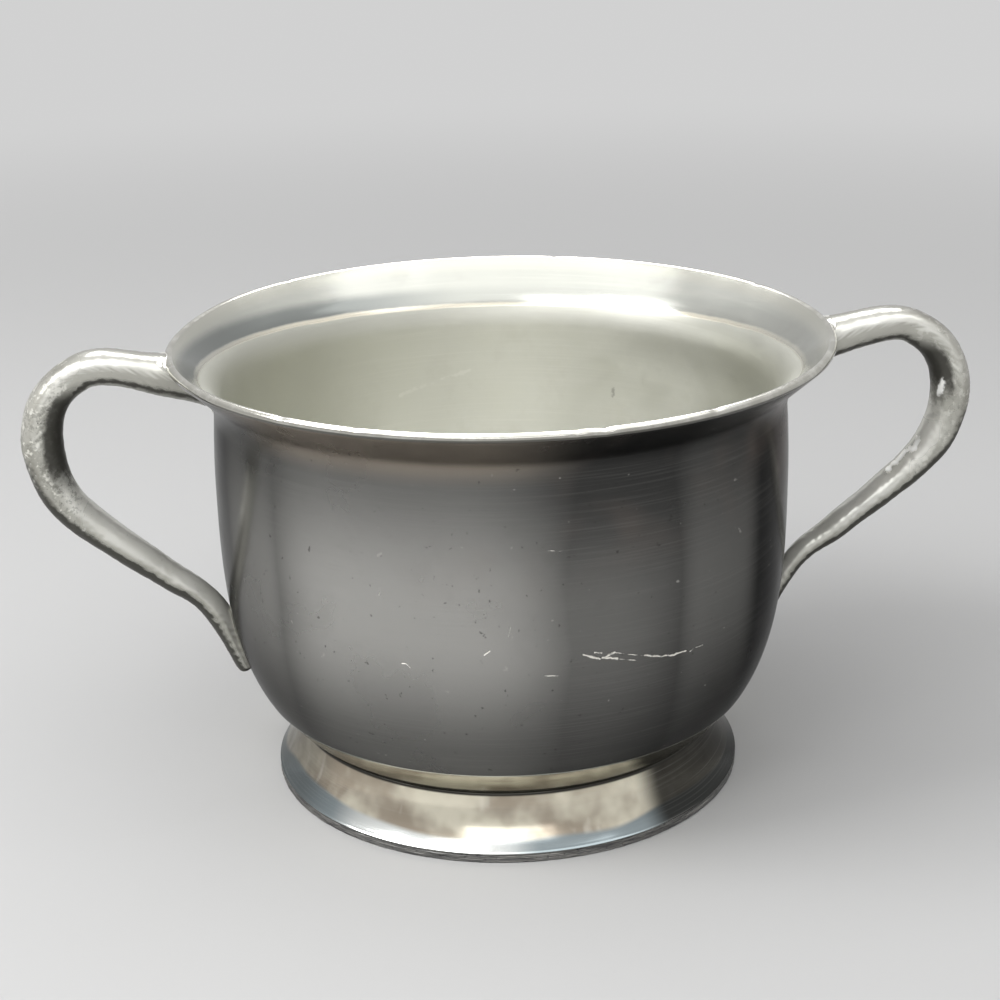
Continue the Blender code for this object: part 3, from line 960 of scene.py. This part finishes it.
def lip_pewter():
    look = Finish("pewter_lip", anisotropy=0.2)
    lines = look.spun(50.0, 3000.0)
    wear = look.noise(260.0, 4.0, 0.65, seed=9.1)
    look.colour = look.mix(look.step(wear, 0.4, 0.7), (0.54, 0.53, 0.48), (0.70, 0.69, 0.64))
    look.paint(look.step(lines, 0.5, 0.8, 0.15), (0.30, 0.29, 0.26))
    # Painted shade: the lip's underside, facing down, is darkened, standing in for a dark reflection.
    normal = look.parts(look.node("ShaderNodeTexCoord").outputs["Normal"])
    look.paint(look.step(normal[2], 0.10, -0.30, 0.85), (0.07, 0.068, 0.06))
    roughness = look.scaled(wear, 0.08, 0.14)
    look.bump(wear, 0.12)
    return look.done(roughness)


PALE_REFLECTION_FOOT = -118.0  # the azimuth where the foot's lower zone is painted palest: a painted reflection
# and where the foot is painted dark, standing in for dark reflections
DARK_REFLECTION_FOOT_RIGHT = -25.0
DARK_REFLECTION_FOOT_LEFT = 179.0


def foot_pewter():
    look = Finish("pewter_foot", edge_tint=0.75)
    lines = look.spun(30.0, 3800.0, -1.0)
    cloud = look.noise(150.0, 4.0, 0.6, seed=15.1)
    height = look.parts(look.place)[2]
    swell = look.spun(42.0, 30.0, -1.0, 1.0, 0.4, seed=2.6)
    patch = look.spun(85.0, 60.0, -1.0, 3.0, 0.55, seed=6.1)
    glints = look.spun(260.0, 25.0, -1.0, 2.0, 0.5, seed=9.4)
    edge_of_hollow = look.scaled(swell, 0.0050, height)
    hollow = look.step(edge_of_hollow, 0.0058, 0.0066)
    # Painted reflections: above a wavy line the skirt is painted a warm reflection with darker patches
    # and painted glints, below it a pale reflection.
    warm_reflection = look.mix(look.step(patch, 0.38, 0.62), (0.87, 0.82, 0.67), (0.44, 0.38, 0.30))
    warm_reflection = look.mix(look.step(glints, 0.60, 0.72, 0.6), warm_reflection, (0.92, 0.88, 0.78))
    # The pale painted reflection turns blue-grey away from its palest azimuth.
    beside = look.step(look.facing(PALE_REFLECTION_FOOT), 0.97, 0.88)
    pale_reflection = look.mix(beside, (0.80, 0.82, 0.80), (0.29, 0.335, 0.35))
    look.colour = look.mix(hollow, pale_reflection, warm_reflection)
    look.paint(look.step(cloud, 0.55, 0.75, 0.2), (0.36, 0.34, 0.30))
    # Painted dark reflections on the foot's right and left.
    dark = look.step(look.facing(DARK_REFLECTION_FOOT_RIGHT), 0.77, 0.86)
    dark = look.larger(dark, look.step(look.facing(DARK_REFLECTION_FOOT_LEFT), 0.80, 0.95, 0.55))
    look.paint(dark, (0.030, 0.029, 0.026), 0.95)
    look.paint(look.step(lines, 0.5, 0.8, 0.10), (0.86, 0.85, 0.80))
    # Painted shade in the crease where the foot meets the bowl.
    look.paint(look.step(height, 0.0098, 0.0101), CREASE_SHADE)
    roughness = look.scaled(look.step(cloud, 0.3, 0.75), 0.05, 0.14)
    look.bump(lines, 0.02)
    return look.done(roughness)


def edge_pewter():
    look = Finish("pewter_edge")
    lines = look.spun(160.0, 5200.0, detail=3.0, rough=0.7)
    chips = look.noise(800.0, 3.0, 0.7, seed=17.3)
    look.colour = look.mix(look.step(lines, 0.35, 0.65), (0.10, 0.10, 0.10), (0.30, 0.295, 0.28))
    look.paint(look.step(chips, 0.58, 0.7, 0.8), (0.05, 0.05, 0.052))
    roughness = look.scaled(lines, 0.3, 0.28)
    look.bump(lines, 0.4)
    return look.done(roughness)


# Painted glints on the handles' skin, where lumps catch the light: start, end, width
HANDLE_GLINTS = (
    ((0.0656, -0.0047, 0.0493), (0.0683, -0.0047, 0.0522), 0.0009),
    ((0.0691, -0.0055, 0.0528), (0.0705, -0.0057, 0.0547), 0.0008),
    ((0.0731, -0.0069, 0.0632), (0.0735, -0.0074, 0.0652), 0.0008),
)


def cast_pewter():
    look = Finish("pewter_cast", metallic=0.42, edge_tint=0.6)
    facing = look.node("ShaderNodeTexCoord").outputs["Normal"]
    normal = look.parts(facing)
    place = look.parts(look.place)
    broad = look.noise(60.0, seed=21.3)
    grain = look.noise(850.0, 3.0, 0.75, seed=22.1)
    pits = look.noise(1500.0, 2.0, 0.6, seed=23.7)
    towards_axis = look.vector("NORMALIZE", look.vector("MULTIPLY", look.place, (-1.0, -1.0, 0.0)))
    inward = look.vector("DOT_PRODUCT", facing, towards_axis)
    radius = look.vector("LENGTH", look.vector("MULTIPLY", look.place, (1.0, 1.0, 0.0)))
    right = look.step(place[0], -0.01, 0.01)
    ragged = look.scaled(grain, 0.3, -0.15)
    bend = look.times(look.step(radius, 0.0655, 0.0715), look.scaled(right, -0.55, 1.0))
    # Painted shade: darkened are the inside of the outer bend, a line under the top limb and the whole
    # underside
    height = look.scaled(right, -0.0062, place[2])
    height = look.scaled(grain, 0.004, height)
    bent = look.scaled(right, -0.0014, radius)
    hollow = look.times(look.step(bent, 0.0630, 0.0680), look.step(height, 0.0560, 0.0620))
    hollow = look.times(hollow, look.step(place[2], 0.0740, 0.0700))
    inner = look.times(look.step(look.math("ADD", inward, ragged), -0.12, 0.26), hollow)
    upper = look.step(place[2], 0.060, 0.068)
    level = look.scaled(upper, 0.27, look.math("ADD", normal[2], ragged))
    level = look.scaled(look.times(upper, right), 0.10, level)
    under = look.step(level, -0.05, -0.28)
    # Where the top limb faces straight down it gets less painted shade: a painted lighter edge.
    less_shade = look.times(look.step(level, -0.36, -0.52, 0.6), upper)
    under = look.times(under, look.math("SUBTRACT", 1.0, less_shade))
    painted_shade = look.larger(inner, under)
    unshaded = look.math("SUBTRACT", 1.0, painted_shade)
    # Painted light: faces that look up are painted much lighter than the sides.
    sides = look.mix(look.step(broad, 0.35, 0.7), (0.46, 0.455, 0.405), (0.56, 0.555, 0.50))
    tops = look.mix(look.step(broad, 0.35, 0.7), (0.84, 0.835, 0.76), (0.92, 0.915, 0.86))
    look.colour = look.mix(look.step(normal[2], -0.04, 0.20), sides, tops)
    # Painted shade on the crown of the top limb.
    crown = look.times(look.step(normal[2], 0.58, 0.84), upper)
    look.paint(crown, (0.34, 0.335, 0.30), 0.85)
    # Painted shade on the outer sides of the bends.
    outer = look.times(look.step(inward, -0.05, -0.50), look.step(radius, 0.0660, 0.0720))
    look.paint(outer, (0.31, 0.30, 0.26), 0.62)
    rough_patch = look.times(look.step(look.noise(95.0, 2.0, 0.5, seed=24.4), 0.42, 0.58), bend)
    grains = look.times(look.step(grain, 0.50, 0.58), rough_patch)
    look.paint(grains, (0.24, 0.235, 0.205), 0.5)
    # Painted glints: near-white grains on the bends and along the left handle's inner edge.
    inner_edge = look.times(look.step(inward, 0.40, 0.62), look.step(radius, 0.0560, 0.0600))
    glint_zone = look.larger(bend, look.times(inner_edge, look.math("SUBTRACT", 1.0, right)))
    glint_grains = look.step(look.noise(700.0, 2.0, 0.7, seed=25.2), 0.55, 0.64)
    look.paint(look.times(glint_grains, glint_zone), (0.97, 0.96, 0.89), 0.7)
    pitted = look.times(look.step(pits, 0.66, 0.74), look.scaled(bend, 0.4, 0.15))
    look.paint(pitted, (0.07, 0.07, 0.06))
    # The painted shade goes on last.
    look.paint(painted_shade, (0.055, 0.053, 0.045), 0.95)
    roughness = look.scaled(rough_patch, 0.14, 0.24)
    roughness = look.scaled(painted_shade, 0.12, roughness)
    # Painted glints, one along each run.
    for start, end, width in HANDLE_GLINTS:
        glint = look.scratch(start, end, width)
        look.paint(glint, (0.98, 0.98, 0.95))
        roughness = look.scaled(glint, 0.4, roughness)
    look.bump(grain, look.scaled(look.times(rough_patch, unshaded), 0.30, 0.03), 0.0003)
    return look.done(roughness)


# The two tones of a solder
DULL_SOLDER = ((0.30, 0.295, 0.27), (0.48, 0.475, 0.44))
BRIGHT_SOLDER = ((0.62, 0.61, 0.57), (0.80, 0.795, 0.75))


def solder_metal(name, dark, light):
    look = Finish(name)
    grain = look.noise(1100.0, 3.0, 0.7, seed=31.1)
    broad = look.noise(300.0, 2.0, 0.5, seed=32.1)
    look.colour = look.mix(look.step(broad, 0.35, 0.7), dark, light)
    look.paint(look.step(grain, 0.6, 0.72, 0.7), (0.10, 0.10, 0.09))
    roughness = look.scaled(grain, 0.25, 0.22)
    look.bump(grain, 0.25)
    return look.done(roughness)


cast_finish = cast_pewter()
tip_joint_finish = solder_metal("solder_tip", *DULL_SOLDER)
top_joint_finish = solder_metal("solder_top", *BRIGHT_SOLDER)

make_bowl(inside_pewter(), flare_pewter(), lip_pewter(), outside_pewter(), band_pewter())
make_foot(foot_pewter(), edge_pewter())
make_foot_solder(solder_metal("solder_foot", *DULL_SOLDER))
for side in ("left", "right"):
    rings, joint = make_handle(side, cast_finish)
    make_top_solder(side, rings, joint, top_joint_finish)
    make_tip_solder(side, rings, tip_joint_finish)


# Camera

# Metres and radians, with the lens in millimetres
CAMERA_TURN = math.radians(-7.5)
CAMERA_DISTANCE = 0.31662
CAMERA_HEIGHT = 0.16202
CAMERA_DOWN = 0.34953
CAMERA_YAW = 0.00134
CAMERA_ROLL = 0.02172
CAMERA_LENS = 71.842


def make_camera():
    lens = bpy.data.cameras.new("camera")
    lens.lens = CAMERA_LENS
    lens.sensor_width = 36
    lens.clip_start = 0.01
    camera = bpy.data.objects.new("camera", lens)
    stand = Matrix.Translation((0, -CAMERA_DISTANCE, CAMERA_HEIGHT))
    place = Matrix.Rotation(CAMERA_TURN, 4, "Z") @ stand
    look = Matrix.Rotation(CAMERA_YAW, 4, "Z") @ Matrix.Rotation(math.pi / 2 - CAMERA_DOWN, 4, "X")
    camera.matrix_world = place @ look @ Matrix.Rotation(-CAMERA_ROLL, 4, "Z")
    bpy.context.scene.collection.objects.link(camera)
    bpy.context.scene.camera = camera


# Studio

WORLD_FOR_DIFFUSE = 0.32
FLOOR_SIZE = 8.0
HORIZON = (0.64, 0.64, 0.64)
CEILING = (1.0, 1.0, 1.0)
DOME_RISE = (0.30, 0.75)  # how high in the sky the one starts and ends to turn into the other
FLOOR = (0.62, 0.62, 0.618)
FLOOR_FADE = (0.22, 0.75)  # how far from the object the lit floor turns into plain backdrop
LAMP_AIM = Vector((0, 0, 0.04))
# Name, azimuth and elevation in degrees, distance, size, watts
LAMPS = (
    ("overhead", 0, 76, 0.80, (1.60, 0.90), 4.8),
    ("key", -72, 44, 0.80, (0.40, 0.36), 3.0),
    ("front", -29, 46, 0.70, (0.22, 0.36), 0.6),
    ("low_front", 0, 26, 0.80, (0.60, 0.22), 0.6),
)
# A card behind the object that only its gloss shows, in the same terms
CARD = ("card", 180, 52, 0.80, (0.60, 0.34), 5.4)


def soft_box(name, azimuth, elevation, distance, size, watts):
    """A soft rectangular lamp. Azimuth 0 is over the camera, and grows towards the right."""
    lamp = bpy.data.lights.new(name, "AREA")
    lamp.shape = "RECTANGLE"
    lamp.size, lamp.size_y = size
    lamp.energy = watts
    box = bpy.data.objects.new(name, lamp)
    turn = CAMERA_TURN - math.pi / 2 + math.radians(azimuth)
    level = math.radians(elevation)
    away = distance * Vector((
        math.cos(turn) * math.cos(level), math.sin(turn) * math.cos(level), math.sin(level)
    ))
    box.location = LAMP_AIM + away
    box.rotation_euler = (LAMP_AIM - box.location).to_track_quat("-Z", "Y").to_euler()
    bpy.context.scene.collection.objects.link(box)
    box.visible_camera = False
    return box


def backdrop_rays(nodes):
    """1 for the rays that show the backdrop: the camera's, and those seen in metal or glass."""
    path = nodes.node("ShaderNodeLightPath").outputs
    seen = nodes.larger(path["Is Camera Ray"], path["Is Glossy Ray"])
    return nodes.larger(seen, path["Is Transmission Ray"])


def make_floor():
    bpy.ops.mesh.primitive_plane_add(size=FLOOR_SIZE, location=(0, 0, 0))
    floor = bpy.context.object
    floor.name = "floor"
    material = bpy.data.materials.new("paper")
    nodes = Nodes(material)
    paper = nodes.tree.nodes["Principled BSDF"]
    paper.inputs["Base Color"].default_value = (*FLOOR, 1)
    paper.inputs["Roughness"].default_value = 0.9
    away = nodes.vector("LENGTH", nodes.node("ShaderNodeTexCoord").outputs["Object"])
    share = nodes.times(nodes.step(away, *FLOOR_FADE), backdrop_rays(nodes))
    plain = nodes.node("ShaderNodeEmission", {"Color": (*HORIZON, 1)}).outputs[0]
    both = nodes.node("ShaderNodeMixShader", {0: share, 1: paper.outputs[0], 2: plain}).outputs[0]
    nodes.tree.links.new(both, nodes.tree.nodes["Material Output"].inputs["Surface"])
    floor.data.materials.append(material)


def make_world():
    world = bpy.data.worlds.new("studio")
    nodes = Nodes(world)
    level = nodes.scaled(backdrop_rays(nodes), 1 - WORLD_FOR_DIFFUSE, WORLD_FOR_DIFFUSE)
    up = nodes.parts(nodes.node("ShaderNodeTexCoord").outputs["Generated"])[2]
    shade = nodes.mix(nodes.step(up, *DOME_RISE), HORIZON, CEILING)
    ground = nodes.tree.nodes["Background"]
    nodes.tree.links.new(level, ground.inputs["Strength"])
    nodes.tree.links.new(shade, ground.inputs["Color"])
    bpy.context.scene.world = world


make_camera()
make_floor()
make_world()
for lamp in LAMPS:
    soft_box(*lamp)
soft_box(*CARD).visible_diffuse = False
bpy.context.scene.view_settings.view_transform = "Standard"
